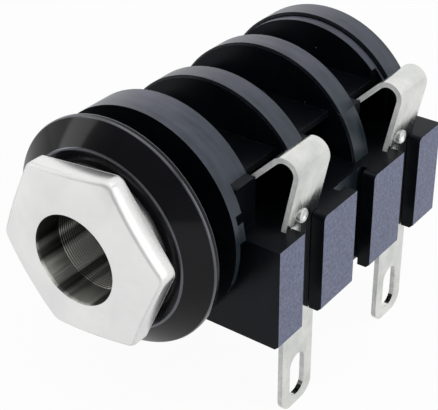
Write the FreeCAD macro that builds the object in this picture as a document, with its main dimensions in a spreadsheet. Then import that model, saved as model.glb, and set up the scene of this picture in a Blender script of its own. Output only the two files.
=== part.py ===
"""Mono 6.35 mm jack socket for panel mounting, in millimetres.

The jack axis lies along Y. The origin is on that axis, in the face of the flange that bears on
the panel. The ferrule is at -Y, the solder tags point down, and +Z is up.
"""
import FreeCAD, Part
import math
import os
import Sketcher

V = FreeCAD.Vector

DRIVING_SIZES = {
    # plug way
    "bore_radius": 3.3,
    "running_gap": 0.06,
    "seat_gap": 0.05,
    # ferrule
    "hex_across_flats": 12.4,
    "hex_height": 1.4,
    "hex_turn": 6.0,
    "face_dome_radius": 28.5,
    "rim_chamfer": 0.2,
    "hex_edge_radius": 0.4,
    "collar_radius": 5.9,
    "collar_height": 0.75,
    "collar_chamfer": 0.2,
    "shank_radius": 4.7,
    "thread_engagement": 3.5,
    # bezel washer
    "washer_radius": 8.6,
    "washer_face_radius": 6.75,
    "washer_thickness": 1.7,
    "washer_rim": 0.4,
    "washer_edge_chamfer": 0.1,
    "panel_space": 2.3,
    # moulded body
    "nose_radius": 5.5,
    "nose_length": 2.25,
    "nose_chamfer": 0.25,
    "neck_radius": 6.2,
    "flange_radius": 8.25,
    "flange_lip": 0.45,
    "flange_step": 1.1,
    "flange_depth": 2.9,
    "crown_height": 4.4,
    "step_height": 2.5,
    "lug_low": 0.25,
    "lug_high": 1.6,
    "lug_depth": 1.4,
    "lug_reach": 1.3,
    "rail_start": 1.7,
    "rail_half_width": 10.6,
    "rail_height": 8.2,
    "rail_edge_chamfer": 0.3,
    "block_corner_radius": 0.4,
    "core_half_width": 7.0,
    "ledge_height": 3.6,
    "rib_radius": 8.5,
    "rib_thickness": 2.1,
    "rib_drop": 1.25,
    "rib_edge_chamfer": 0.15,
    "rear_step_radius": 8.2,
    "rear_step_depth": 0.8,
    "rear_disc_thickness": 2.3,
    "station_pitch": 6.85,
    "first_station": 5.95,
    "rail_gap_width": 2.5,
    "rail_gap_depth": 1.6,
    "last_block_length": 3.3,
    # window that lets a contact's tongue into the plug way
    "window_drop": 3.0,
    "window_inner": 1.1,
    "window_depth": 1.1,
    "window_roof_inner": 2.6,
    "window_clearance": 0.15,
    # coring of the underside
    "core_pocket_width": 2.8,
    "core_pocket_wall": 1.2,
    "core_pocket_length": 5.6,
    "core_pocket_depth": 3.2,
    # contact springs
    "strip_thickness": 0.4,
    "strip_width": 3.9,
    "strip_inset": 1.3,
    "tag_reach": 8.1,
    "tag_corner_radius": 1.2,
    "eyelet_width": 1.9,
    "eyelet_length": 3.8,
    "eyelet_margin": 0.8,
    "leg_bend_height": 0.0,
    "leg_bend_radius": 2.0,
    "loop_lean": 1.55,
    "inner_leg_drop": 3.3,
    "loop_radius": 1.0,
    "tongue_bend_radius": 1.2,
    "curl_bend_radius": 0.5,
    "curl_reach": 0.55,
    "sleeve_tongue_place": 3.2,
    "sleeve_tongue_drop": 1.5,
    "tip_tongue_place": 2.35,
    "tip_tongue_drop": 0.9,
    "dimple_radius": 0.75,
    "dimple_height": 0.95,
    "dimple_proud": 0.3,
    "dimple_edge_radius": 0.15,
}

STATIONS = 3
POCKET_ROWS = 4

# How far a cutting outline runs past the faces it opens.
PAST = 1
# How near a value is when an edge is picked by its place or direction.
NEAR = 0.01


class Size:
    """A length with its value and the expression that ties it to the sheet."""

    def __init__(self, value, text):
        self.value = value
        self.text = text

    def __add__(self, other):
        other = as_size(other)
        return Size(self.value + other.value, "(%s + %s)" % (self.text, other.text))

    def __sub__(self, other):
        other = as_size(other)
        return Size(self.value - other.value, "(%s - %s)" % (self.text, other.text))

    def __mul__(self, other):
        other = as_size(other)
        return Size(self.value * other.value, "(%s * %s)" % (self.text, other.text))

    def __truediv__(self, other):
        other = as_size(other)
        return Size(self.value / other.value, "(%s / %s)" % (self.text, other.text))

    def __neg__(self):
        return Size(-self.value, "(0 - %s)" % self.text)


def as_size(length):
    """Take a plain number as a Size."""
    if isinstance(length, Size):
        return length
    return Size(float(length), repr(length))


ZERO = Size(0.0, "0")


class Sheet:
    """The driving sizes, each read as an attribute."""

    def __init__(self, doc, sizes):
        sheet = doc.addObject("Spreadsheet::Sheet", "dims")
        for row, (name, value) in enumerate(sizes.items(), start=1):
            sheet.set("A%d" % row, name)
            sheet.set("B%d" % row, str(value))
            sheet.setAlias("B%d" % row, name)
            setattr(self, name, Size(value, "dims.%s" % name))


doc = FreeCAD.newDocument("mono_jack_socket")
s = Sheet(doc, DRIVING_SIZES)
doc.recompute()

# Places along the jack axis, from the flange face.
washer_back = -s.panel_space
washer_front = washer_back - s.washer_thickness
head_back = washer_front - s.seat_gap
hex_back = head_back - s.collar_height
hex_front = hex_back - s.hex_height
shank_end = s.thread_engagement - s.nose_length
rib_front = s.first_station + s.strip_width / 2 + s.seat_gap
last_station = s.first_station + s.station_pitch * (STATIONS - 1)
body_end = last_station + s.rail_gap_width / 2 + s.last_block_length

# Contact strips: the shank stands in the rail, and the inner leg slopes at 45 degrees.
shank_across = s.rail_half_width - s.strip_inset
apex_across = shank_across + s.loop_lean
apex_height = apex_across - s.inner_leg_drop


def origin_feature(body, role):
    """Find a body's own origin plane or axis."""
    return [item for item in body.Origin.OriginFeatures if item.Role == role][0]


def new_sketch(body, name, plane, offset=ZERO):
    """Start a sketch on an origin plane, moved along the plane's normal."""
    sketch = body.newObject("Sketcher::SketchObject", name)
    sketch.AttachmentSupport = [(origin_feature(body, plane), "")]
    sketch.MapMode = "FlatFace"
    sketch.AttachmentOffset = FreeCAD.Placement(V(0, 0, offset.value), FreeCAD.Rotation())
    sketch.setExpression("AttachmentOffset.Base.z", offset.text)
    return sketch


def bind(sketch, constraint, size):
    """Add a constraint whose value follows the sheet."""
    index = sketch.addConstraint(constraint)
    sketch.setExpression("Constraints[%d]" % index, size.text)


def place_point(sketch, geometry, end, across, up):
    """Hold one point of a sketch at its two coordinates."""
    bind(sketch, Sketcher.Constraint("DistanceX", -1, 1, geometry, end, across.value), across)
    bind(sketch, Sketcher.Constraint("DistanceY", -1, 1, geometry, end, up.value), up)


def add_outline(sketch, corners):
    """Draw a closed outline of straight lines through the corners."""
    first = sketch.GeometryCount
    count = len(corners)
    for i, (across, up) in enumerate(corners):
        next_across, next_up = corners[(i + 1) % count]
        start = V(across.value, up.value, 0)
        stop = V(next_across.value, next_up.value, 0)
        sketch.addGeometry(Part.LineSegment(start, stop), False)
    for i in range(count):
        line, following = first + i, first + (i + 1) % count
        sketch.addConstraint(Sketcher.Constraint("Coincident", line, 2, following, 1))
    for i, (across, up) in enumerate(corners):
        place_point(sketch, first + i, 1, across, up)


def add_rectangle(sketch, left, right, low, high):
    """Draw a rectangle between four coordinates."""
    add_outline(sketch, [(left, low), (right, low), (right, high), (left, high)])


def add_both_sides(sketch, corners):
    """Draw an outline and its mirror image across the jack axis."""
    add_outline(sketch, corners)
    add_outline(sketch, [(-across, up) for across, up in reversed(corners)])


def add_circle(sketch, radius, across=ZERO, up=ZERO):
    """Draw a circle."""
    centre = V(across.value, up.value, 0)
    circle = sketch.addGeometry(Part.Circle(centre, V(0, 0, 1), radius.value), False)
    place_point(sketch, circle, 3, across, up)
    bind(sketch, Sketcher.Constraint("Radius", circle, radius.value), radius)


def add_segment(sketch, radius, chord, centre=ZERO):
    """Draw the part of a disc that lies above a level chord."""
    angle = math.asin((chord - centre).value / radius.value)
    disc = Part.Circle(V(0, centre.value, 0), V(0, 0, 1), radius.value)
    arc = sketch.addGeometry(Part.ArcOfCircle(disc, angle, math.pi - angle), False)
    right = V(radius.value * math.cos(angle), chord.value, 0)
    left = V(-right.x, right.y, 0)
    line = sketch.addGeometry(Part.LineSegment(left, right), False)
    place_point(sketch, arc, 3, ZERO, centre)
    sketch.addConstraint(Sketcher.Constraint("Coincident", arc, 2, line, 1))
    sketch.addConstraint(Sketcher.Constraint("Coincident", line, 2, arc, 1))
    sketch.addConstraint(Sketcher.Constraint("Horizontal", line))
    bind(sketch, Sketcher.Constraint("Radius", arc, radius.value), radius)
    bind(sketch, Sketcher.Constraint("DistanceY", -1, 1, line, 1, chord.value), chord)


def add_slot(sketch, centre_across, centre_up, width, length):
    """Draw an upright round-ended slot."""
    radius = width / 2
    reach = length / 2 - radius
    top, low = centre_up + reach, centre_up - reach
    normal = V(0, 0, 1)
    upper = Part.Circle(V(centre_across.value, top.value, 0), normal, radius.value)
    lower = Part.Circle(V(centre_across.value, low.value, 0), normal, radius.value)
    cap = sketch.addGeometry(Part.ArcOfCircle(upper, 0, math.pi), False)
    cup = sketch.addGeometry(Part.ArcOfCircle(lower, math.pi, 2 * math.pi), False)
    left, right = centre_across - radius, centre_across + radius
    left_line = Part.LineSegment(V(left.value, top.value, 0), V(left.value, low.value, 0))
    right_line = Part.LineSegment(V(right.value, low.value, 0), V(right.value, top.value, 0))
    left_side = sketch.addGeometry(left_line, False)
    right_side = sketch.addGeometry(right_line, False)
    sketch.addConstraint(Sketcher.Constraint("Tangent", cap, 2, left_side, 1))
    sketch.addConstraint(Sketcher.Constraint("Tangent", left_side, 2, cup, 1))
    sketch.addConstraint(Sketcher.Constraint("Tangent", cup, 2, right_side, 1))
    sketch.addConstraint(Sketcher.Constraint("Tangent", right_side, 2, cap, 1))
    place_point(sketch, cap, 3, centre_across, top)
    place_point(sketch, cup, 3, centre_across, low)
    bind(sketch, Sketcher.Constraint("Radius", cap, radius.value), radius)


def add_bent_path(sketch, corners, radii):
    """Draw straight runs through the corners, joined by tangent bends."""
    points = [V(across.value, up.value, 0) for across, up in corners]
    starts, ends = [points[0]], []
    arcs = []
    for before, corner, after, radius in zip(points, points[1:], points[2:], radii):
        back = (before - corner).normalize()
        ahead = (after - corner).normalize()
        half = back.getAngle(ahead) / 2
        tangent_length = radius.value / math.tan(half)
        inward = (back + ahead).normalize()
        centre = corner + inward * (radius.value / math.sin(half))
        ends.append(corner + back * tangent_length)
        starts.append(corner + ahead * tangent_length)
        arcs.append((centre, back.cross(ahead).z))
    ends.append(points[-1])
    lines = [sketch.addGeometry(Part.LineSegment(a, b), False) for a, b in zip(starts, ends)]
    place_point(sketch, lines[0], 1, *corners[0])
    place_point(sketch, lines[-1], 2, *corners[-1])
    for i, ((centre, turn), radius) in enumerate(zip(arcs, radii)):
        circle = Part.Circle(centre, V(0, 0, 1), radius.value)
        from_angle = math.atan2(ends[i].y - centre.y, ends[i].x - centre.x)
        to_angle = math.atan2(starts[i + 1].y - centre.y, starts[i + 1].x - centre.x)
        first, last = (1, 2) if turn < 0 else (2, 1)
        low, high = (from_angle, to_angle) if turn < 0 else (to_angle, from_angle)
        arc = sketch.addGeometry(Part.ArcOfCircle(circle, low, high), False)
        corner = sketch.addGeometry(Part.Point(points[i + 1]), True)
        place_point(sketch, corner, 1, *corners[i + 1])
        sketch.addConstraint(Sketcher.Constraint("PointOnObject", corner, 1, lines[i]))
        sketch.addConstraint(Sketcher.Constraint("PointOnObject", corner, 1, lines[i + 1]))
        sketch.addConstraint(Sketcher.Constraint("Tangent", lines[i], 2, arc, first))
        sketch.addConstraint(Sketcher.Constraint("Tangent", arc, last, lines[i + 1], 1))
        bind(sketch, Sketcher.Constraint("Radius", arc, radius.value), radius)


def new_body(label):
    """Start a piece."""
    body = doc.addObject("PartDesign::Body", label)
    body.Label = label
    return body


def extrude(body, kind, name, sketch, length, reverse=False):
    """Pad or pocket a sketch by a length."""
    feature = body.newObject("PartDesign::" + kind, name)
    feature.Profile = sketch
    feature.Length = length.value
    feature.setExpression("Length", length.text)
    feature.Reversed = reverse
    return feature


def turn(body, kind, name, sketch):
    """Turn a sketch all the way round the jack axis, as a solid or a cut."""
    feature = body.newObject("PartDesign::" + kind, name)
    feature.Profile = sketch
    feature.ReferenceAxis = (sketch, ["V_Axis"])
    feature.Angle = 360.0
    return feature


def cut_checked(body, feature, before):
    """Confirm that a cut took material away."""
    doc.recompute()
    if not body.Shape.Volume < before - 1e-6:
        raise ValueError("%s removed nothing" % feature.Name)


def along_axis(body, name, originals, pitch, count):
    """Repeat features along the jack axis."""
    pattern = body.newObject("PartDesign::LinearPattern", name)
    pattern.Originals = originals
    pattern.Direction = (origin_feature(body, "Y_Axis"), [""])
    pattern.Mode = "Spacing"
    pattern.Offset = pitch.value
    pattern.setExpression("Offset", pitch.text)
    pattern.Occurrences = count
    body.Tip = pattern
    return pattern


def dress(body, kind, name, edges, size):
    """Fillet or chamfer edges of the body's last feature."""
    base = body.Tip
    feature = body.newObject("PartDesign::" + kind, name)
    feature.Base = (base, edges)
    prop = "Radius" if kind == "Fillet" else "Size"
    setattr(feature, prop, size.value)
    feature.setExpression(prop, size.text)
    return feature


def runs_along(edge, axis):
    """Tell whether an edge starts in the direction of an axis."""
    return abs(getattr(edge.tangentAt(edge.FirstParameter), axis)) > 1 - NEAR


def edges_where(body, test):
    """Name the edges of a body's last shape whose middle point passes a test."""
    names = []
    for number, edge in enumerate(body.Shape.Edges, start=1):
        middle = edge.valueAt((edge.FirstParameter + edge.LastParameter) / 2)
        if test(edge, middle):
            names.append("Edge%d" % number)
    return names


def make_ferrule():
    """Hexagon-headed metal bush that screws into the nose and clamps the panel."""
    body = new_body("ferrule")
    profile = new_sketch(body, "shank_profile", "XY_Plane")
    add_outline(profile, [
        (ZERO, hex_back),
        (s.collar_radius, hex_back),
        (s.collar_radius, head_back - s.collar_chamfer),
        (s.collar_radius - s.collar_chamfer, head_back),
        (s.shank_radius, head_back),
        (s.shank_radius, shank_end - s.rim_chamfer),
        (s.shank_radius - s.rim_chamfer, shank_end),
        (ZERO, shank_end),
    ])
    turn(body, "Revolution", "shank_and_collar", profile)

    hexagon = new_sketch(body, "hexagon", "XZ_Plane", -hex_back)
    flat = s.hex_across_flats / 2
    corner = s.hex_across_flats / math.sqrt(3)
    half = corner / 2
    add_outline(hexagon, [(corner, ZERO), (half, flat), (-half, flat), (-corner, ZERO),
                          (-half, -flat), (half, -flat)])
    dome_space = corner * corner / (s.face_dome_radius * 2)
    extrude(body, "Pad", "hex_head", hexagon, s.hex_height + dome_space)
    doc.recompute()

    upright = edges_where(body, lambda edge, middle: runs_along(edge, "y")
                          and math.hypot(middle.x, middle.z) > corner.value - NEAR)
    dress(body, "Fillet", "soft_corners", upright, s.hex_edge_radius)
    doc.recompute()
    before = body.Shape.Volume

    dome = new_sketch(body, "dome_profile", "XY_Plane")
    apex = hex_front - dome_space
    outer = corner + PAST
    clear = apex - PAST
    centre_height = apex + s.face_dome_radius
    angle = math.asin(outer.value / s.face_dome_radius.value)
    arc_end = V(outer.value, centre_height.value - s.face_dome_radius.value * math.cos(angle), 0)
    ball = Part.Circle(V(0, centre_height.value, 0), V(0, 0, 1), s.face_dome_radius.value)
    arc = dome.addGeometry(Part.ArcOfCircle(ball, -math.pi / 2, -math.pi / 2 + angle), False)
    side = dome.addGeometry(Part.LineSegment(arc_end, V(outer.value, clear.value, 0)), False)
    front = dome.addGeometry(Part.LineSegment(V(outer.value, clear.value, 0), V(0, clear.value, 0)), False)
    axis = dome.addGeometry(Part.LineSegment(V(0, clear.value, 0), V(0, apex.value, 0)), False)
    dome.addConstraint(Sketcher.Constraint("Coincident", arc, 2, side, 1))
    dome.addConstraint(Sketcher.Constraint("Coincident", side, 2, front, 1))
    dome.addConstraint(Sketcher.Constraint("Coincident", front, 2, axis, 1))
    dome.addConstraint(Sketcher.Constraint("Coincident", axis, 2, arc, 1))
    dome.addConstraint(Sketcher.Constraint("Vertical", side))
    place_point(dome, arc, 3, ZERO, centre_height)
    place_point(dome, front, 2, ZERO, clear)
    place_point(dome, front, 1, outer, clear)
    bind(dome, Sketcher.Constraint("Radius", arc, s.face_dome_radius.value), s.face_dome_radius)
    dome.addConstraint(Sketcher.Constraint("PointOnObject", arc, 1, -2))
    domed = turn(body, "Groove", "domed_face", dome)
    cut_checked(body, domed, before)

    before = body.Shape.Volume
    opening = new_sketch(body, "bore_profile", "XY_Plane")
    rim = apex + s.bore_radius * s.bore_radius / (s.face_dome_radius * 2)
    add_outline(opening, [
        (ZERO, clear),
        (s.bore_radius + s.rim_chamfer + PAST, clear),
        (s.bore_radius + s.rim_chamfer, rim),
        (s.bore_radius, rim + s.rim_chamfer),
        (s.bore_radius, shank_end + PAST),
        (ZERO, shank_end + PAST),
    ])
    bored = turn(body, "Groove", "plug_bore", opening)
    cut_checked(body, bored, before)
    body.Placement = FreeCAD.Placement(V(0, 0, 0), FreeCAD.Rotation(V(0, -1, 0), s.hex_turn.value))
    body.setExpression("Placement.Rotation.Angle", s.hex_turn.text)
    return body


def make_washer():
    """Bevelled bezel washer that the ferrule presses on the panel."""
    body = new_body("bezel_washer")
    inner = s.nose_radius + s.running_gap
    rim_front = washer_back - s.washer_rim
    edge = s.washer_edge_chamfer
    profile = new_sketch(body, "washer_profile", "XY_Plane")
    add_outline(profile, [
        (inner, washer_back),
        (s.washer_radius - edge, washer_back),
        (s.washer_radius, washer_back - edge),
        (s.washer_radius, rim_front),
        (s.washer_radius - edge, rim_front - edge),
        (s.washer_face_radius + edge, washer_front + edge / 2),
        (s.washer_face_radius, washer_front),
        (inner, washer_front),
    ])
    turn(body, "Revolution", "bevelled_ring", profile)
    return body


def make_disc(body, name, front, back):
    """Add a round rib with bevelled rims, centred below the jack axis."""
    edge = s.rib_edge_chamfer
    profile = new_sketch(body, name + "_profile", "XY_Plane", -s.rib_drop)
    add_outline(profile, [
        (ZERO, front),
        (s.rib_radius - edge, front),
        (s.rib_radius, front + edge),
        (s.rib_radius, back - edge),
        (s.rib_radius - edge, back),
        (ZERO, back),
    ])
    return turn(body, "Revolution", name, profile)


def make_moulding():
    """Moulded body: nose, flange, ribs, side rails and the ways for the contacts."""
    body = new_body("socket_body")
    length = body_end - s.rail_start
    lower = new_sketch(body, "rail_section", "XZ_Plane", -body_end)
    bevel = s.rail_edge_chamfer
    add_outline(lower, [
        (bevel - s.rail_half_width, -s.rail_height),
        (s.rail_half_width - bevel, -s.rail_height),
        (s.rail_half_width, bevel - s.rail_height),
        (s.rail_half_width, ZERO),
        (-s.rail_half_width, ZERO),
        (-s.rail_half_width, bevel - s.rail_height),
    ])
    extrude(body, "Pad", "rails", lower, length)

    upper = new_sketch(body, "core_section", "XZ_Plane", -body_end)
    add_rectangle(upper, -s.core_half_width, s.core_half_width, -s.core_half_width / 2, s.ledge_height)
    extrude(body, "Pad", "core", upper, length)

    front = new_sketch(body, "nose_profile", "XY_Plane")
    add_outline(front, [
        (ZERO, -s.nose_length),
        (s.nose_radius - s.nose_chamfer, -s.nose_length),
        (s.nose_radius, s.nose_chamfer - s.nose_length),
        (s.nose_radius, ZERO),
        (s.flange_radius, ZERO),
        (s.flange_radius, s.flange_lip),
        (s.neck_radius, s.flange_lip),
        (s.neck_radius, s.flange_depth),
        (ZERO, s.flange_depth),
    ])
    turn(body, "Revolution", "nose_and_lip", front)

    for name, chord, depth in (("flange_shoulder", s.step_height, s.flange_step),
                               ("flange_crown", s.crown_height, s.flange_depth)):
        segment = new_sketch(body, name + "_outline", "XZ_Plane", -depth)
        add_segment(segment, s.flange_radius, chord)
        extrude(body, "Pad", name, segment, depth)

    lug = new_sketch(body, "lug_outline", "XZ_Plane", -s.lug_depth)
    lug_edge = s.flange_radius - s.flange_lip / 2
    add_both_sides(lug, [(lug_edge - s.lug_reach, s.lug_low), (lug_edge, s.lug_low),
                         (lug_edge - s.flange_lip / 2, s.lug_high), (lug_edge - s.lug_reach, s.lug_high)])
    extrude(body, "Pad", "lugs", lug, s.lug_depth)

    rear_front = body_end - s.rear_disc_thickness
    rib = make_disc(body, "rib", rib_front, rib_front + s.rib_thickness)
    along_axis(body, "ribs", [rib], s.station_pitch, STATIONS - 1)
    make_disc(body, "rear_disc", rear_front, body_end)
    rear = new_sketch(body, "rear_step_outline", "XZ_Plane", -rear_front)
    add_segment(rear, s.rear_step_radius, s.ledge_height, -s.rib_drop)
    extrude(body, "Pad", "rear_step", rear, s.rear_step_depth)
    doc.recompute()

    before = body.Shape.Volume
    flat = new_sketch(body, "underside_outline", "XY_Plane", -s.rail_height)
    add_rectangle(flat, -s.rail_half_width, s.rail_half_width, s.rail_start, body_end + PAST)
    trimmed = extrude(body, "Pocket", "flat_underside", flat, s.rib_radius)
    cut_checked(body, trimmed, before)

    before = body.Shape.Volume
    thread_radius = s.shank_radius + s.running_gap
    way = new_sketch(body, "bore_profile", "XY_Plane")
    add_outline(way, [
        (ZERO, -s.nose_length - PAST),
        (thread_radius, -s.nose_length - PAST),
        (thread_radius, s.flange_depth),
        (s.bore_radius, s.flange_depth),
        (s.bore_radius, body_end + PAST),
        (ZERO, body_end + PAST),
    ])
    bored = turn(body, "Groove", "plug_way", way)
    cut_checked(body, bored, before)

    before = body.Shape.Volume
    gap_wall = s.rail_half_width - s.rail_gap_depth
    gap_front = s.first_station - s.rail_gap_width / 2
    gap = new_sketch(body, "rail_gap_outline", "XY_Plane")
    outside = s.rail_half_width + PAST
    add_both_sides(gap, [(gap_wall, gap_front), (outside, gap_front),
                         (outside, gap_front + s.rail_gap_width), (gap_wall, gap_front + s.rail_gap_width)])
    gap_cut = extrude(body, "Pocket", "rail_gap", gap, s.rail_height)
    cut_checked(body, gap_cut, before)

    before = body.Shape.Volume
    slot_half = s.strip_thickness / 2 + s.seat_gap
    slot_front = s.first_station - s.strip_width / 2 - s.seat_gap
    slot_width = s.strip_width + s.seat_gap * 2
    slot = new_sketch(body, "strip_slot_outline", "XY_Plane")
    add_both_sides(slot, [(shank_across - slot_half, slot_front), (shank_across + slot_half, slot_front),
                          (shank_across + slot_half, slot_front + slot_width),
                          (shank_across - slot_half, slot_front + slot_width)])
    slot_cut = extrude(body, "Pocket", "strip_slot", slot, s.rail_height)
    cut_checked(body, slot_cut, before)

    before = body.Shape.Volume
    shelf = s.core_half_width - s.window_depth
    roof_rise = (s.strip_thickness / 2 + s.window_clearance) * math.sqrt(2) - s.inner_leg_drop
    above = s.ledge_height + PAST
    window = new_sketch(body, "window_outline", "XZ_Plane", -slot_front - slot_width)
    add_both_sides(window, [
        (s.window_inner, -s.window_drop),
        (shelf, -s.window_drop),
        (shelf, ZERO),
        (outside, ZERO),
        (outside, above),
        (shelf, above),
        (shelf, shelf + roof_rise),
        (s.window_roof_inner, s.window_roof_inner + roof_rise),
    ])
    window_cut = extrude(body, "Pocket", "contact_window", window, slot_width, reverse=True)
    cut_checked(body, window_cut, before)

    before = body.Shape.Volume
    pocket = new_sketch(body, "coring_outline", "XY_Plane", -s.rail_height)
    row_pitch = s.core_pocket_width + s.core_pocket_wall
    pocket_front = s.first_station - s.core_pocket_length / 2
    for row in range(POCKET_ROWS):
        left = row_pitch * (row - POCKET_ROWS / 2) + s.core_pocket_wall / 2
        add_rectangle(pocket, left, left + s.core_pocket_width, pocket_front,
                      pocket_front + s.core_pocket_length)
    cored = extrude(body, "Pocket", "coring", pocket, s.core_pocket_depth, reverse=True)
    cut_checked(body, cored, before)

    before = body.Shape.Volume
    stations = along_axis(body, "stations", [gap_cut, slot_cut, window_cut, cored],
                          s.station_pitch, STATIONS)
    cut_checked(body, stations, before)

    block_fronts = [gap_front + s.rail_gap_width + s.station_pitch * i for i in range(STATIONS)]
    corners = edges_where(body, lambda edge, middle: runs_along(edge, "x") and abs(middle.z) < NEAR
                          and abs(middle.x) > gap_wall.value
                          and any(abs(middle.y - front.value) < NEAR for front in block_fronts))
    dress(body, "Fillet", "soft_block_corners", corners, s.block_corner_radius)
    return body


def make_contact(label, station, tongue_place, tongue_drop):
    """Contact spring: solder tag, shank in the rail, loop over the rail and tongue in the plug way."""
    body = new_body(label)
    middle = s.first_station + s.station_pitch * station
    tongue_corner = tongue_place - s.inner_leg_drop
    tongue_end = tongue_corner - tongue_drop
    tag_end = -s.rail_height - s.tag_reach

    path = new_sketch(body, "strip_path", "XZ_Plane", -middle)
    add_bent_path(path, [
        (shank_across, tag_end),
        (shank_across, s.leg_bend_height),
        (apex_across, apex_height),
        (tongue_place, tongue_corner),
        (tongue_place, tongue_end),
        (tongue_place + s.curl_reach, tongue_end - s.curl_reach),
    ], [s.leg_bend_radius, s.loop_radius, s.tongue_bend_radius, s.curl_bend_radius])
    section = new_sketch(body, "strip_section", "XY_Plane", tag_end)
    add_rectangle(section, shank_across - s.strip_thickness / 2, shank_across + s.strip_thickness / 2,
                  middle - s.strip_width / 2, middle + s.strip_width / 2)
    strip = body.newObject("PartDesign::AdditivePipe", "strip")
    strip.Profile = section
    strip.Spine = (path, [""])
    doc.recompute()

    low = edges_where(body, lambda edge, point: point.z < tag_end.value + NEAR
                      and runs_along(edge, "x"))
    dress(body, "Fillet", "tag_corners", low, s.tag_corner_radius)
    doc.recompute()

    before = body.Shape.Volume
    eyelet_centre = tag_end + s.eyelet_margin + s.eyelet_length / 2
    eyelet = new_sketch(body, "eyelet_outline", "YZ_Plane", shank_across - s.strip_thickness)
    add_slot(eyelet, middle, eyelet_centre, s.eyelet_width, s.eyelet_length)
    opening = extrude(body, "Pocket", "eyelet", eyelet, s.strip_thickness * 2, reverse=True)
    cut_checked(body, opening, before)

    leg_slope = s.loop_lean / (apex_height - s.leg_bend_height)
    face = shank_across + s.strip_thickness / 2 + leg_slope * (s.dimple_height - s.leg_bend_height)
    dimple = new_sketch(body, "dimple_outline", "YZ_Plane", shank_across)
    add_circle(dimple, s.dimple_radius, middle, s.dimple_height)
    extrude(body, "Pad", "dimple", dimple, face + s.dimple_proud - shank_across)
    doc.recompute()
    crown = edges_where(body, lambda edge, point: point.x > (face + s.dimple_proud).value - NEAR
                        and abs(math.hypot(point.y - middle.value, point.z - s.dimple_height.value)
                                - s.dimple_radius.value) < NEAR)
    dress(body, "Fillet", "soft_dimple", crown, s.dimple_edge_radius)
    return body


pieces = [
    make_ferrule(),
    make_washer(),
    make_moulding(),
    make_contact("sleeve_contact", 0, s.sleeve_tongue_place, s.sleeve_tongue_drop),
    make_contact("tip_contact", STATIONS - 1, s.tip_tongue_place, s.tip_tongue_drop),
]
doc.recompute()

for item in doc.Objects:
    if "Invalid" in item.State or "Error" in item.State:
        raise ValueError("%s failed: %s" % (item.Name, item.State))
for piece in pieces:
    if piece.Shape.isNull() or not piece.Shape.isValid():
        raise ValueError("%s has no valid shape" % piece.Label)

os.makedirs("parts", exist_ok=True)
for piece in pieces:
    piece.Shape.exportStep(os.path.join("parts", piece.Label + ".step"))
    box = piece.Shape.BoundBox
    print("%-15s x %.2f..%.2f  y %.2f..%.2f  z %.2f..%.2f  volume %.1f  solids %d" % (
        piece.Label, box.XMin, box.XMax, box.YMin, box.YMax, box.ZMin, box.ZMax,
        piece.Shape.Volume, len(piece.Shape.Solids)))
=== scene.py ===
"""Mono jack socket: finishes, turned details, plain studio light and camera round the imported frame."""
from math import cos, hypot, pi, radians, sin

import bmesh
import bpy
from mathutils import Matrix, Vector


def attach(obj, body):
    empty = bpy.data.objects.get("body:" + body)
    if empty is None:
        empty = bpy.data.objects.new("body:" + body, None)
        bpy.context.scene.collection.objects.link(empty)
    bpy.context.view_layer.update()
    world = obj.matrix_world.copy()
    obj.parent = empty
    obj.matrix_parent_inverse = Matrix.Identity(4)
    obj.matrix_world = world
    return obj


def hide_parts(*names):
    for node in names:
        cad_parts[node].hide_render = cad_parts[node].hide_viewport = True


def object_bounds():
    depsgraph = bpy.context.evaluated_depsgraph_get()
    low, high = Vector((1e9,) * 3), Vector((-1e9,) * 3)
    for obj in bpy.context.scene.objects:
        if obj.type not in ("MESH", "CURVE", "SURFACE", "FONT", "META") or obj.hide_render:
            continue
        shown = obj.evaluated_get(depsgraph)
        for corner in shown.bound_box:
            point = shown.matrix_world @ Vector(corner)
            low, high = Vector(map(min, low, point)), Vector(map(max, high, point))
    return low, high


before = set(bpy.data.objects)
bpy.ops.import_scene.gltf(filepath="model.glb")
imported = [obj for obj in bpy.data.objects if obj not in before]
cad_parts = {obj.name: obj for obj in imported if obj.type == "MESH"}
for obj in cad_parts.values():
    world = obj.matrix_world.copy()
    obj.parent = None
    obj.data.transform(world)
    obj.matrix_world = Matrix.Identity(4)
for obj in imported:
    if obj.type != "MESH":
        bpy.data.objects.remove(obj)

cad_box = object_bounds()
MM = 0.001


# Shapes

JOIN_WITHIN = 0.0005 * MM
FLAT_WITHIN = radians(0.5)


def merged_copy(node):
    """A copy of a solid with its loose triangles joined and its flat faces made whole."""
    bm = bmesh.new()
    bm.from_mesh(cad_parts[node].data)
    bmesh.ops.remove_doubles(bm, verts=bm.verts, dist=JOIN_WITHIN)
    bmesh.ops.dissolve_limit(bm, angle_limit=FLAT_WITHIN, verts=bm.verts, edges=bm.edges)
    return bm


def make_piece(bm, name, body, materials, node, sharp=35, crisp=False):
    """Turns a bmesh into a shown piece that rides on its body and stands for its solid.

    Edges sharper than the angle stay hard, and with crisp so do the borders between two finishes.
    """
    mesh = bpy.data.meshes.new(name)
    bm.edges.index_update()
    borders = [edge.index for edge in bm.edges
               if len({face.material_index for face in edge.link_faces}) > 1]
    bm.to_mesh(mesh)
    bm.free()
    mesh.shade_smooth()
    mesh.set_sharp_from_angle(angle=radians(sharp))
    for border in borders if crisp else []:
        mesh.edges[border].use_edge_sharp = True
    piece = bpy.data.objects.new(name, mesh)
    bpy.context.collection.objects.link(piece)
    for material in materials:
        mesh.materials.append(material)
    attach(piece, body)
    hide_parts(node)
    return piece


def soften(piece, width, segments, finish, angle=30):
    """Rounds the sharp edges of a piece by a small real radius, in one of its finishes."""
    bevel = piece.modifiers.new("softened_edges", "BEVEL")
    bevel.limit_method = "ANGLE"
    bevel.angle_limit = radians(angle)
    bevel.width = width
    bevel.segments = segments
    bevel.material = finish
    bevel.harden_normals = True
    bevel.use_clamp_overlap = True


def across(vert):
    """How far a point lies from the jack axis."""
    return hypot(vert.co.x, vert.co.z)


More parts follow.
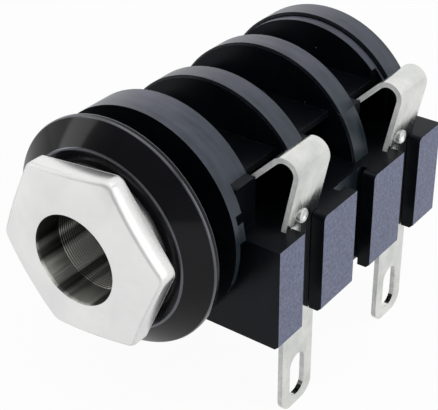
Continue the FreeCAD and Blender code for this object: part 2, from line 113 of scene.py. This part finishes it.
def set_across(vert, radius):
    """Moves a point to a new distance from the jack axis."""
    scale = radius / across(vert)
    vert.co.x *= scale
    vert.co.z *= scale


# The ferrule, its sizes in millimetres
BORE_RADIUS = 3.3
RIM_RADIUS = 3.38
RIM_FRONT = -6.884
DOME_RADIUS = 28.5
HEX_FRONT = -6.2
HEX_BACK = -4.8
HEX_FLATS = 12.4
HEX_TURN = 6.0
CORNER_ROUNDING = 0.45
CREASE_ROUNDING = 0.22
COLLAR_RADIUS = 5.9
HEAD_BACK = -4.05
SHANK_END = 1.25
ROUND_STEPS = 96
RING_START = -4.8
RING_END = 1.0
RING_PITCH = 0.2
RING_DEPTH = 0.045
BORE_FINISH = 1
CREASE_FINISH = 2


def turned_section():
    """Half section of the ferrule's round part, from the bore's rim to the back of the hexagon."""
    section = [(RIM_RADIUS, RIM_FRONT), (BORE_RADIUS + 0.03, RIM_FRONT + 0.12),
               (BORE_RADIUS, RIM_FRONT + 0.25)]
    for ring in range(int((RING_END - RING_START) / RING_PITCH)):
        front = RING_START + ring * RING_PITCH
        section += [(BORE_RADIUS, front), (BORE_RADIUS, front + RING_PITCH / 4),
                    (BORE_RADIUS + RING_DEPTH, front + RING_PITCH / 2),
                    (BORE_RADIUS + RING_DEPTH, front + RING_PITCH * 3 / 4)]
    core = THREAD_ROOT / MM + 0.02
    section += [(BORE_RADIUS, RING_END), (BORE_RADIUS, SHANK_END - 0.15), (BORE_RADIUS + 0.15, SHANK_END),
                (core - 0.2, SHANK_END), (core, SHANK_END - 0.2), (core, HEAD_BACK),
                (COLLAR_RADIUS - 0.2, HEAD_BACK), (COLLAR_RADIUS, HEAD_BACK - 0.2),
                (COLLAR_RADIUS, HEX_BACK - 0.4)]
    return section


def rim_edges(edges, test):
    """The open edges whose ends both pass a test."""
    return [edge for edge in edges if edge.is_boundary and all(test(vert) for vert in edge.verts)]


def turned_ferrule():
    """The hexagon head with its domed face, and the round part with the ringed bore."""
    bm = bmesh.new()
    corner = HEX_FLATS / 3 ** 0.5 * MM
    upright = Matrix.Rotation(radians(-HEX_TURN), 4, "Y") @ Matrix.Rotation(radians(90), 4, "X")
    bmesh.ops.create_circle(bm, cap_ends=True, radius=corner, segments=6,
                            matrix=upright @ Matrix.Rotation(radians(30), 4, "Z"))
    bmesh.ops.translate(bm, vec=(0, HEX_FRONT * MM, 0), verts=bm.verts)
    bmesh.ops.bevel(bm, geom=bm.verts[:], offset=CORNER_ROUNDING * MM, offset_type="OFFSET",
                    affect="VERTICES", segments=6, profile=0.5, material=-1)
    flats = [edge for edge in bm.edges if edge.calc_length() > corner / 2]
    bmesh.ops.subdivide_edges(bm, edges=flats, cuts=ROUND_STEPS // 6 - 7)
    grown = bmesh.ops.extrude_face_region(bm, geom=bm.faces[:])["geom"]
    back = [item for item in grown if isinstance(item, bmesh.types.BMVert)]
    bmesh.ops.translate(bm, vec=(0, (HEX_BACK - HEX_FRONT) * MM, 0), verts=back)
    bmesh.ops.delete(bm, geom=[face for face in bm.faces if len(face.verts) > 4], context="FACES_ONLY")

    points = [bm.verts.new((radius * MM, along * MM, 0)) for radius, along in turned_section()]
    lines = [bm.edges.new(pair) for pair in zip(points, points[1:])]
    bmesh.ops.spin(bm, geom=points + lines, cent=(0, 0, 0), axis=(0, 1, 0), angle=2 * pi, steps=ROUND_STEPS,
                   use_merge=True)
    front = rim_edges(bm.edges, lambda vert: vert.co.y < (HEX_FRONT + 0.1) * MM)
    bridged = bmesh.ops.bridge_loops(bm, edges=front)
    cross = [edge for edge in bridged["edges"] if abs(edge.verts[0].co.y - edge.verts[1].co.y) > 0.3 * MM]
    bmesh.ops.subdivide_edges(bm, edges=cross, cuts=7, use_grid_fill=True)
    for vert in bm.verts:
        if vert.co.y < (HEX_FRONT + 0.001) * MM and across(vert) > (RIM_RADIUS - 0.01) * MM:
            rise = (across(vert) ** 2 - (RIM_RADIUS * MM) ** 2) / (2 * DOME_RADIUS * MM)
            vert.co.y = RIM_FRONT * MM + rise
    behind = rim_edges(bm.edges, lambda vert: vert.co.y < (HEX_BACK + 0.1) * MM)
    bmesh.ops.bridge_loops(bm, edges=behind)
    # The collar's end ring was drawn a little forward, so that the bridge closes without a twist.
    for vert in bm.verts:
        if abs(across(vert) - COLLAR_RADIUS * MM) < 0.001 * MM and vert.co.y < HEX_BACK * MM:
            vert.co.y = HEX_BACK * MM
    bmesh.ops.recalc_face_normals(bm, faces=bm.faces)
    crease = [edge for edge in bm.edges if edge.is_manifold and edge.calc_face_angle() > radians(40)
              and all(across(vert) > (HEX_FLATS / 2 - 0.2) * MM for vert in edge.verts)]
    bmesh.ops.bevel(bm, geom=crease, offset=CREASE_ROUNDING * MM, offset_type="OFFSET", affect="EDGES",
                    segments=5, profile=0.5, material=CREASE_FINISH)
    for face in bm.faces:
        if all(across(vert) < (RIM_RADIUS + 0.001) * MM for vert in face.verts):
            face.material_index = BORE_FINISH
    return bm


THREAD_PITCH = 0.79375 * MM
THREAD_CREST = 4.7 * MM
THREAD_ROOT = 4.26 * MM
THREAD_START = -3.6 * MM
THREAD_END = 1.2 * MM
THREAD_FADE = 0.5 * MM
CREST_WIDTH = 0.12 * MM
STEPS_PER_TURN = 72


def thread_the_shank(bm):
    """Winds the helical ridge round the ferrule's shank."""
    section = [(THREAD_CREST, 0), (THREAD_CREST, CREST_WIDTH), (THREAD_ROOT, THREAD_PITCH / 2),
               (THREAD_CREST, THREAD_PITCH)]
    ridge = [bm.verts.new((radius, THREAD_START + along, 0)) for radius, along in section]
    lines = [bm.edges.new(pair) for pair in zip(ridge, ridge[1:])]
    turns = int((THREAD_END - THREAD_START) / THREAD_PITCH) - 1
    bmesh.ops.spin(bm, geom=ridge + lines, cent=(0, 0, 0), axis=(0, 1, 0),
                   dvec=(0, THREAD_PITCH / STEPS_PER_TURN, 0), angle=2 * pi * turns,
                   steps=STEPS_PER_TURN * turns, use_merge=False)
    helix = {vert for edge in lines for face in edge.link_faces for vert in face.verts}
    reached = set(helix)
    while reached:
        reached = {other for vert in reached for edge in vert.link_edges for other in edge.verts} - helix
        helix |= reached
    bmesh.ops.remove_doubles(bm, verts=list(helix), dist=0.001 * MM)
    helix = [vert for vert in helix if vert.is_valid]
    for vert in helix:
        inside = min(vert.co.y - THREAD_START, THREAD_END - vert.co.y) / THREAD_FADE
        share = min(max(inside, 0), 1)
        set_across(vert, THREAD_ROOT + (across(vert) - THREAD_ROOT) * share)
    faces = list({face for vert in helix for face in vert.link_faces})
    bmesh.ops.recalc_face_normals(bm, faces=faces)
    if sum(face.normal.dot(Vector((face.calc_center_median().x, 0, face.calc_center_median().z)))
           for face in faces) < 0:
        bmesh.ops.reverse_faces(bm, faces=faces)


WASHER_SECTION = [(5.56, -2.3), (8.597, -2.3), (8.597, -2.75), (6.78, -4.0), (5.56, -4.0)]
WASHER_STEPS = 180
WASHER_ROUNDING = 0.1 * MM
WASHER_RIM_FINISH = 1


def spun_washer():
    """The bezel ring, turned in fine steps with rounded rims so that its gloss runs smoothly."""
    bm = bmesh.new()
    corners = [bm.verts.new((radius * MM, along * MM, 0)) for radius, along in WASHER_SECTION]
    lines = [bm.edges.new((first, second)) for first, second in zip(corners, corners[1:] + corners[:1])]
    bmesh.ops.spin(bm, geom=corners + lines, cent=(0, 0, 0), axis=(0, 1, 0), angle=2 * pi,
                   steps=WASHER_STEPS, use_merge=True)
    bmesh.ops.recalc_face_normals(bm, faces=bm.faces)
    rims = [edge for edge in bm.edges if edge.is_manifold and edge.calc_face_angle() > radians(18)]
    # The rounded rims take their own lighter finish, a painted highlight.
    bmesh.ops.bevel(bm, geom=rims, offset=WASHER_ROUNDING, offset_type="OFFSET", affect="EDGES",
                    segments=4, profile=0.5, material=WASHER_RIM_FINISH)
    return bm


LEG_OUTSIDE = 9.3 * MM
LEG_SLOPE = 0.207
CROWN_HEIGHT = 0.95 * MM
CROWN_DROP = 0.16 * MM
DIMPLE_REACH = 0.8 * MM
DIMPLE_FORWARD = 0.25 * MM
DIMPLE_DOWN = 0.33 * MM
DIMPLE_SHARE = 0.72
SPOT_REACH = 0.62 * MM
DISH_DEPTH = 0.12 * MM
SHEARED_FINISH = 1
SPOT_FINISH = 2


def raised_near(bm, middle, reach):
    """The points of a strip's outer leg that lie near a place on it."""
    return [vert for vert in bm.verts if vert.co.x > LEG_OUTSIDE
            and hypot(vert.co.y - middle.y, vert.co.z - middle.z) < reach]


def dish_the_dimple(bm):
    """Brings the pressed dimple to the photo's size and place, sinks its middle and smooths it."""
    crown = max((face for face in bm.faces if face.normal.x > 0.999 and len(face.verts) > 7
                 and abs(face.calc_center_median().z - CROWN_HEIGHT) < 0.3 * MM),
                key=lambda face: face.calc_center_median().x)
    middle = crown.calc_center_median()
    bmesh.ops.translate(bm, vec=(-CROWN_DROP, 0, 0), verts=crown.verts[:])
    whole = raised_near(bm, middle, DIMPLE_REACH)
    bmesh.ops.translate(bm, vec=(-LEG_SLOPE * DIMPLE_DOWN, -DIMPLE_FORWARD, -DIMPLE_DOWN), verts=whole)
    foot = [vert.co for vert in whole if vert not in crown.verts]
    foot_middle = sum(foot, Vector()) / len(foot)
    bmesh.ops.scale(bm, vec=(DIMPLE_SHARE,) * 3, space=Matrix.Translation(-foot_middle), verts=whole)
    bmesh.ops.inset_region(bm, faces=[crown], thickness=0.05 * MM, depth=0, use_even_offset=True)
    bmesh.ops.inset_region(bm, faces=[crown], thickness=DISH_DEPTH, depth=-DISH_DEPTH, use_even_offset=True)
    pressed = set(raised_near(bm, foot_middle, SPOT_REACH))
    spot = [face for face in bm.faces if pressed.issuperset(face.verts)]
    for face in spot:
        face.material_index = SPOT_FINISH
    bmesh.ops.subdivide_edges(bm, edges=list({edge for face in spot for edge in face.edges}), cuts=1,
                              use_grid_fill=True)
    inner = [vert for vert in bm.verts if all(face.material_index == SPOT_FINISH for face in vert.link_faces)]
    for _ in range(5):
        bmesh.ops.smooth_vert(bm, verts=inner, factor=0.5, use_axis_x=True, use_axis_y=True, use_axis_z=True)


def mark_sheared_edges(bm):
    """Gives the two sheared sides of a strip their own finish."""
    for face in bm.faces:
        if abs(face.normal.y) > 0.9 and face.material_index == 0:
            face.material_index = SHEARED_FINISH


RIB_DROP = 1.25 * MM
RIM_REACH = 7.9 * MM
RAIL_OUTSIDE = 10.4 * MM
RIM_FINISH = 1
ERODED_SHEEN_FINISH = 2
EDGE_FINISH = 3


def sort_finishes(bm):
    """Gives the rims the satin finish with painted sheen, and the rails' outsides the eroded one with painted
    sheen.
    """
    for face in bm.faces:
        middle = face.calc_center_median()
        spoke = Vector((middle.x, 0, middle.z + RIB_DROP))
        # The rails' outer sides get the eroded grain with its painted sheen.
        if abs(middle.x) > RAIL_OUTSIDE and abs(face.normal.x) > 0.9:
            face.material_index = ERODED_SHEEN_FINISH
        elif spoke.length > RIM_REACH and face.normal.dot(spoke.normalized()) > 0.9:
            face.material_index = RIM_FINISH


# Finishes

def node(tree, kind, inputs=None, **settings):
    """One shader node with its settings, values and links."""
    made = tree.nodes.new("ShaderNode" + kind)
    for name, value in settings.items():
        setattr(made, name, value)
    for name, value in (inputs or {}).items():
        if isinstance(value, bpy.types.NodeSocket):
            tree.links.new(value, made.inputs[name])
        else:
            made.inputs[name].default_value = value
    return made


def new_group(name, inputs, outputs):
    """An empty node group with plain number sockets."""
    tree = bpy.data.node_groups.new(name, "ShaderNodeTree")
    for label, value in inputs.items():
        tree.interface.new_socket(label, in_out="INPUT", socket_type="NodeSocketFloat").default_value = value
    for label in outputs:
        tree.interface.new_socket(label, in_out="OUTPUT", socket_type="NodeSocketFloat")
    return tree, tree.nodes.new("NodeGroupInput").outputs, tree.nodes.new("NodeGroupOutput").inputs


def group_fine_grain():
    """Fine even grain of a mould or a cut face, with slow uneven patches."""
    tree, given, out = new_group("fine_grain", {"Grains per metre": 8000, "Patches per metre": 300},
                                 ["Height", "Patches"])
    place = node(tree, "TexCoord").outputs["Object"]
    grain = node(tree, "TexNoise", {"Vector": place, "Scale": given[0], "Detail": 3, "Roughness": 0.65})
    patches = node(tree, "TexNoise", {"Vector": place, "Scale": given[1], "Detail": 4, "Roughness": 0.55})
    even = node(tree, "MapRange", {"Value": patches.outputs[0], "From Min": 0.3, "From Max": 0.7})
    tree.links.new(grain.outputs[0], out["Height"])
    tree.links.new(even.outputs[0], out["Patches"])
    return tree


def group_streaks(name, stretch):
    """Streaks that run the way in which the stretch is small."""
    tree, given, out = new_group(name, {"Streaks per metre": 6000}, ["Streaks"])
    place = node(tree, "TexCoord").outputs["Object"]
    drawn = node(tree, "VectorMath", {0: place, 1: stretch}, operation="MULTIPLY")
    streaks = node(tree, "TexNoise", {"Vector": drawn.outputs[0], "Scale": given[0], "Detail": 3})
    strong = node(tree, "MapRange", {"Value": streaks.outputs[0], "From Min": 0.34, "From Max": 0.66})
    tree.links.new(strong.outputs[0], out["Streaks"])
    return tree


def group_specks():
    """A few small round specks of lint and dust."""
    tree, given, out = new_group("specks", {"Cells per metre": 900, "Radius": 0.1, "Share": 0.2}, ["Mask"])
    place = node(tree, "TexCoord").outputs["Object"]
    cells = node(tree, "TexVoronoi", {"Vector": place, "Scale": given[0], "Randomness": 1})
    near = node(tree, "Math", {0: cells.outputs["Distance"], 1: given[1]}, operation="LESS_THAN")
    pick = node(tree, "SeparateColor", {0: cells.outputs["Color"]})
    kept = node(tree, "Math", {0: pick.outputs[0], 1: given[2]}, operation="LESS_THAN")
    both = node(tree, "Math", {0: near.outputs[0], 1: kept.outputs[0]}, operation="MULTIPLY")
    tree.links.new(both.outputs[0], out["Mask"])
    return tree


fine_grain = group_fine_grain()
rolling_streaks = group_streaks("rolling_streaks", (0.25, 1, 0.03))
axial_scores = group_streaks("axial_scores", (1, 0.04, 1))
turning_streaks = group_streaks("turning_streaks", (0.1, 1, 0.1))
specks = group_specks()


def new_material(name, metallic=0.0, specular=0.5):
    """An empty node material and its shader."""
    material = bpy.data.materials.new(name)
    material.use_nodes = True
    shader = material.node_tree.nodes["Principled BSDF"]
    shader.inputs["Metallic"].default_value = metallic
    shader.inputs["Specular IOR Level"].default_value = specular
    return material, material.node_tree, shader


def use_group(tree, group, **inputs):
    """A node group placed in a material."""
    values = {name.replace("_", " "): value for name, value in inputs.items()}
    return node(tree, "Group", values, node_tree=group).outputs


def add_bump(tree, shader, height, strength, distance):
    """Feeds a height into the shader as a fine bump."""
    bump = node(tree, "Bump", {"Height": height, "Strength": strength, "Distance": distance})
    tree.links.new(bump.outputs[0], shader.inputs["Normal"])


def between(tree, share, low, high):
    """A number that runs between two ends with a share."""
    return node(tree, "MapRange", {"Value": share, "To Min": low, "To Max": high}).outputs[0]


def shades(tree, share, dark, light):
    """A colour that runs between two ends with a share."""
    mix = node(tree, "Mix", {"Factor": share, "A": (*dark, 1), "B": (*light, 1)}, data_type="RGBA")
    return mix.outputs["Result"]


def mix_colours(tree, share, first, second):
    """A colour mixed from a linked colour and a plain one."""
    mix = tree.nodes.new("ShaderNodeMix")
    mix.data_type = "RGBA"
    tree.links.new(share, mix.inputs["Factor"])
    tree.links.new(first, mix.inputs[6])
    mix.inputs[7].default_value = (*second, 1)
    return mix.outputs[2]


def satin_plating(name, metallic, smooth, rough):
    """Nickel plating of the turned ferrule: soft haze, faint turning rings."""
    material, tree, shader = new_material(name, metallic=metallic)
    haze = use_group(tree, fine_grain, Grains_per_metre=9000, Patches_per_metre=260)
    place = node(tree, "TexCoord").outputs["Object"]
    rings = node(tree, "TexWave", {"Vector": place, "Scale": 1400, "Distortion": 0.4, "Detail": 2},
                 wave_type="RINGS", rings_direction="Y")
    height = node(tree, "Math", {0: rings.outputs["Fac"], 1: haze["Height"]}, operation="ADD")
    colour = shades(tree, haze["Patches"], (0.78, 0.78, 0.78), (0.88, 0.88, 0.87))
    tree.links.new(colour, shader.inputs["Base Color"])
    tree.links.new(between(tree, haze["Patches"], rough, smooth), shader.inputs["Roughness"])
    add_bump(tree, shader, height.outputs[0], 0.12, 0.004 * MM)
    return material


def gloss_black():
    """Polished black moulding of the bezel ring, with a little lint."""
    material, tree, shader = new_material("gloss_black", specular=0.15)
    polish = use_group(tree, fine_grain, Grains_per_metre=1500, Patches_per_metre=220)
    lint = use_group(tree, specks, Cells_per_metre=1100, Radius=0.05, Share=0.12)
    base = shades(tree, polish["Patches"], (0.006, 0.006, 0.007), (0.01, 0.01, 0.012))
    tree.links.new(mix_colours(tree, lint["Mask"], base, (0.16, 0.16, 0.15)), shader.inputs["Base Color"])
    tree.links.new(between(tree, polish["Patches"], 0.08, 0.14), shader.inputs["Roughness"])
    add_bump(tree, shader, polish["Height"], 0.1, 0.01 * MM)
    return material


COOL_SHEEN = (0.8, 0.87, 1, 1)
RIB_REACH = 8 * MM


def black_moulding(name, dark, light, roughness, specular, patches, depth):
    """One finish of the black moulding, with two shades in patches and a fine grain."""
    material, tree, shader = new_material(name, specular=specular)
    shader.inputs["Specular Tint"].default_value = COOL_SHEEN
    grain = use_group(tree, fine_grain, Grains_per_metre=6000, Patches_per_metre=patches)
    dust = use_group(tree, specks, Cells_per_metre=1300, Radius=0.08, Share=0.08)
    base = shades(tree, grain["Patches"], dark, light)
    tree.links.new(mix_colours(tree, dust["Mask"], base, (0.2, 0.2, 0.19)), shader.inputs["Base Color"])
    tree.links.new(between(tree, grain["Height"], *roughness), shader.inputs["Roughness"])
    add_bump(tree, shader, grain["Height"], 0.35, depth)
    return material


def rim_painted_sheen():
    """The rims of flange and ribs: painted sheen, lilac streaks that turn darker teal toward the contacts."""
    material, tree, shader = new_material("rim_painted_sheen", specular=0.6)
    shader.inputs["Specular Tint"].default_value = COOL_SHEEN
    streaks = use_group(tree, turning_streaks, Streaks_per_metre=1500)
    grain = use_group(tree, fine_grain, Grains_per_metre=6000, Patches_per_metre=450)
    share = node(tree, "Mix", {"Factor": 0.5, "A": streaks["Streaks"], "B": grain["Patches"]}).outputs["Result"]
    side = node(tree, "SeparateXYZ", {0: node(tree, "TexCoord").outputs["Object"]}).outputs["X"]
    # Painted sheen: the rim colour is lightest on the left and fades toward the contacts on the right.
    sheen_fade = node(tree, "MapRange", {"Value": side, "From Min": 0, "From Max": RIB_REACH, "To Min": 1,
                                   "To Max": 0.15})
    tone = node(tree, "Math", {0: share, 1: sheen_fade.outputs[0]}, operation="MULTIPLY").outputs[0]
    tree.links.new(shades(tree, tone, (0.002, 0.009, 0.012), (0.1, 0.1, 0.14)), shader.inputs["Base Color"])
    tree.links.new(between(tree, share, 0.24, 0.42), shader.inputs["Roughness"])
    add_bump(tree, shader, streaks["Streaks"], 0.3, 0.02 * MM)
    return material


# Place round the bore's wall and grey of each band of painted reflection
PAINTED_BORE_REFLECTIONS = [(0, 0.04), (0.17, 0.04), (0.22, 0.45), (0.28, 0.08), (0.32, 0.4), (0.37, 0.95), (0.47, 1),
              (0.52, 0.15), (0.59, 0.12), (0.65, 0.7), (0.78, 0.7), (0.85, 0.1), (1, 0.1)]
BANDS_FROM = radians(-30)
BANDS_TO = radians(150)


def bore_with_painted_reflections():
    """The reamed bore: scored along its length by plugs, its wall painted in dark and bright reflection bands.
    """
    material, tree, shader = new_material("bore_with_painted_reflections", metallic=1)
    scores = use_group(tree, axial_scores, Streaks_per_metre=1300)
    fine = use_group(tree, axial_scores, Streaks_per_metre=4000)
    back = node(tree, "VectorMath", {0: node(tree, "TexCoord").outputs["Object"], 1: (-1, -1, -1)},
                operation="MULTIPLY")
    sides = node(tree, "SeparateXYZ", {0: back.outputs[0]}).outputs
    angle = node(tree, "Math", {0: sides["Z"], 1: sides["X"]}, operation="ARCTAN2").outputs[0]
    level = node(tree, "MapRange", {"Value": angle, "From Min": BANDS_FROM, "From Max": BANDS_TO})
    shaken = node(tree, "Math", {0: scores["Streaks"], 1: 0.06, 2: level.outputs[0]}, operation="MULTIPLY_ADD")
    # Painted reflection: the base colour runs through dark and bright bands by the angle round the axis.
    ramp = node(tree, "ValToRGB", {0: shaken.outputs[0]})
    bands = ramp.color_ramp.elements
    bands.remove(bands[1])
    for place, grey in PAINTED_BORE_REFLECTIONS:
        band = bands[0] if place == 0 else bands.new(place)
        band.color = (grey, grey, grey * 0.93, 1)
    tree.links.new(ramp.outputs[0], shader.inputs["Base Color"])
    tree.links.new(between(tree, fine["Streaks"], 0.42, 0.6), shader.inputs["Roughness"])
    add_bump(tree, shader, scores["Streaks"], 0.6, 0.08 * MM)
    return material


def contact_plate():
    """Bright plated spring strip with fine rolling streaks."""
    material, tree, shader = new_material("contact_plate", metallic=1)
    roll = use_group(tree, rolling_streaks, Streaks_per_metre=6000)
    haze = use_group(tree, fine_grain, Grains_per_metre=5000, Patches_per_metre=420)
    colour = shades(tree, haze["Patches"], (0.58, 0.6, 0.58), (0.82, 0.82, 0.79))
    tree.links.new(colour, shader.inputs["Base Color"])
    tree.links.new(between(tree, roll["Streaks"], 0.14, 0.26), shader.inputs["Roughness"])
    add_bump(tree, shader, roll["Streaks"], 0.12, 0.006 * MM)
    return material


def dull_metal(name, metallic, dark, light, patches, rough):
    """Strip metal without its polish, as on a cut edge or a pressed spot: mottled and rougher."""
    material, tree, shader = new_material(name, metallic=metallic)
    cut = use_group(tree, fine_grain, Grains_per_metre=9000, Patches_per_metre=patches)
    colour = shades(tree, cut["Patches"], (dark, dark * 1.02, dark * 1.02), (light, light, light * 0.99))
    tree.links.new(colour, shader.inputs["Base Color"])
    tree.links.new(between(tree, cut["Patches"], rough, rough - 0.15), shader.inputs["Roughness"])
    add_bump(tree, shader, cut["Height"], 0.4, 0.02 * MM)
    return material


plating = satin_plating("satin_plating", 1, 0.2, 0.27)
crease = satin_plating("tumbled_crease", 0.55, 0.45, 0.55)
bore = bore_with_painted_reflections()
gloss = gloss_black()
# The washer's rounded rims: a lighter grey than the ring, a painted highlight along them.
ring_rim_highlight = black_moulding("ring_rim_highlight", (0.05, 0.05, 0.055), (0.11, 0.11, 0.12), (0.1, 0.2), 0.8, 400,
                           0.005 * MM)
polished = black_moulding("polished_black", (0.0015, 0.002, 0.003), (0.004, 0.005, 0.007), (0.24, 0.34), 0.13,
                          350, 0.01 * MM)
# The rims: satin gloss, with a painted sheen in their colour.
satin = rim_painted_sheen()
# Rails' outsides: real eroded grain, with a light blue-grey base colour that is painted sheen.
eroded_and_sheen = black_moulding("grain_and_painted_sheen", (0.066, 0.075, 0.122), (0.17, 0.185, 0.285), (0.4, 0.55), 0.5, 4600,
                        0.03 * MM)
# The body's rounded edges: a lighter colour that is a painted highlight along them.
edge_highlight = black_moulding("painted_edge_highlight", (0.06, 0.065, 0.08), (0.14, 0.15, 0.18), (0.2, 0.3), 0.8, 900,
                            0.005 * MM)
strip_faces = contact_plate()
# Cut strip edges: a real rough mottled cut, with a near-white, barely metallic tone that is painted highlight.
cut_edges_and_highlight = dull_metal("sheared_edge", 0.05, 0.7, 1.0, 1500, 0.5)
strip_spot = dull_metal("pressed_spot", 0.8, 0.55, 0.85, 900, 0.45)

ferrule_mesh = turned_ferrule()
thread_the_shank(ferrule_mesh)
make_piece(ferrule_mesh, "hexagon_ferrule", "ferrule", [plating, bore, crease], "ferrule", 40)
make_piece(spun_washer(), "bezel_ring", "washer", [gloss, ring_rim_highlight], "bezel_washer")
body_mesh = merged_copy("socket_body")
sort_finishes(body_mesh)
body = make_piece(body_mesh, "moulded_body", "socket", [polished, satin, eroded_and_sheen, edge_highlight],
                  "socket_body")
# The rounded edges take the lighter edge finish, a painted highlight.
soften(body, 0.08 * MM, 3, EDGE_FINISH)
for station in ("sleeve", "tip"):
    strip_mesh = merged_copy(station + "_contact")
    dish_the_dimple(strip_mesh)
    mark_sheared_edges(strip_mesh)
    strip = make_piece(strip_mesh, station + "_strip", "socket", [strip_faces, cut_edges_and_highlight, strip_spot],
                       station + "_contact", 45, True)
    soften(strip, 0.06 * MM, 2, 0)


# Studio

CAMERA_AZIMUTH = radians(36.742)
CAMERA_ELEVATION = radians(31.962)
CAMERA_ROLL = radians(-0.644)
CAMERA_DISTANCE = 88.85 * MM
LENS = 100.8
AIM = Vector((2.391, 5.984, -1.349)) * MM


def seen_share(tree, seen, mirrored):
    """How far a surface shows its plain white: to the camera, in reflections, and never as light."""
    path = node(tree, "LightPath").outputs
    direct = node(tree, "Math", {0: path["Is Camera Ray"], 1: seen}, operation="MULTIPLY").outputs[0]
    beyond = node(tree, "Math", {0: path["Is Glossy Ray"], 1: path["Is Transmission Ray"]}, operation="MAXIMUM")
    reflected = node(tree, "Math", {0: beyond.outputs[0], 1: mirrored}, operation="MULTIPLY").outputs[0]
    return node(tree, "Math", {0: direct, 1: reflected}, operation="MAXIMUM").outputs[0]


def light_world(level, room):
    """A soft dome, white to the camera, and in reflections white behind the object and dim before it."""
    world = bpy.data.worlds.new("studio_dome")
    bpy.context.scene.world = world
    world.use_nodes = True
    tree = world.node_tree
    background = tree.nodes["Background"]
    background.inputs["Color"].default_value = (1, 1, 1, 1)
    away = (-sin(CAMERA_AZIMUTH), cos(CAMERA_AZIMUTH), 0)
    direction = node(tree, "TexCoord").outputs["Generated"]
    behind = node(tree, "VectorMath", {0: direction, 1: away}, operation="DOT_PRODUCT").outputs["Value"]
    dome = node(tree, "MapRange", {"Value": behind, "From Min": -0.35, "From Max": 0.3, "To Min": room,
                                   "To Max": 1}, interpolation_type="SMOOTHSTEP").outputs[0]
    direct = node(tree, "LightPath").outputs["Is Camera Ray"]
    shown = node(tree, "Math", {0: dome, 1: direct}, operation="MAXIMUM").outputs[0]
    strength = node(tree, "Mix", {"Factor": seen_share(tree, 1, 1), "A": level, "B": shown})
    tree.links.new(strength.outputs[0], background.inputs["Strength"])


def lay_floor():
    """A pale floor under the solder tags, white to the camera with the object's soft shadow left in."""
    bm = bmesh.new()
    bmesh.ops.create_grid(bm, x_segments=1, y_segments=1, size=1.5)
    bmesh.ops.translate(bm, vec=(0, 0, cad_box[0][2]), verts=bm.verts)
    mesh = bpy.data.meshes.new("floor")
    bm.to_mesh(mesh)
    bm.free()
    floor = bpy.data.objects.new("floor", mesh)
    bpy.context.collection.objects.link(floor)
    material, tree, shader = new_material("pale_floor", specular=0)
    shader.inputs["Base Color"].default_value = (0.92, 0.92, 0.92, 1)
    shader.inputs["Roughness"].default_value = 0.9
    white = node(tree, "Emission")
    blend = tree.nodes.new("ShaderNodeMixShader")
    tree.links.new(seen_share(tree, 0.95, 0.7), blend.inputs[0])
    tree.links.new(shader.outputs[0], blend.inputs[1])
    tree.links.new(white.outputs[0], blend.inputs[2])
    tree.links.new(blend.outputs[0], tree.nodes["Material Output"].inputs["Surface"])
    mesh.materials.append(material)


def looking(place, target, roll=0.0):
    """The matrix of a lamp or camera at a place that looks at a target."""
    turn = (Vector(target) - Vector(place)).to_track_quat("-Z", "Y").to_matrix().to_4x4()
    return Matrix.Translation(place) @ turn @ Matrix.Rotation(roll, 4, "Z")


def soft_box(name, place, size, energy):
    """One soft area lamp aimed at the object."""
    lamp = bpy.data.lights.new(name, "AREA")
    lamp.shape = "RECTANGLE"
    lamp.size, lamp.size_y = size
    lamp.energy = energy
    holder = bpy.data.objects.new(name, lamp)
    holder.matrix_world = looking(place, AIM)
    bpy.context.collection.objects.link(holder)


def place_camera():
    """The photograph's view: from the right of the socket's face, looking down."""
    back = Vector((sin(CAMERA_AZIMUTH) * cos(CAMERA_ELEVATION), -cos(CAMERA_AZIMUTH) * cos(CAMERA_ELEVATION),
                   sin(CAMERA_ELEVATION)))
    data = bpy.data.cameras.new("camera")
    data.lens = LENS
    data.clip_start = 0.001
    camera = bpy.data.objects.new("camera", data)
    camera.matrix_world = looking(AIM + CAMERA_DISTANCE * back, AIM, CAMERA_ROLL)
    bpy.context.collection.objects.link(camera)
    bpy.context.scene.camera = camera


light_world(0.3, 0.12)
lay_floor()
soft_box("right_box", (0.3, 0.03, 0.1), (0.34, 0.34), 0.62)
soft_box("top_box", (0.02, -0.03, 0.34), (0.4, 0.4), 0.45)
soft_box("left_box", (-0.24, -0.14, 0.08), (0.08, 0.2), 0.12)
place_camera()
bpy.context.scene.view_settings.view_transform = "Standard"
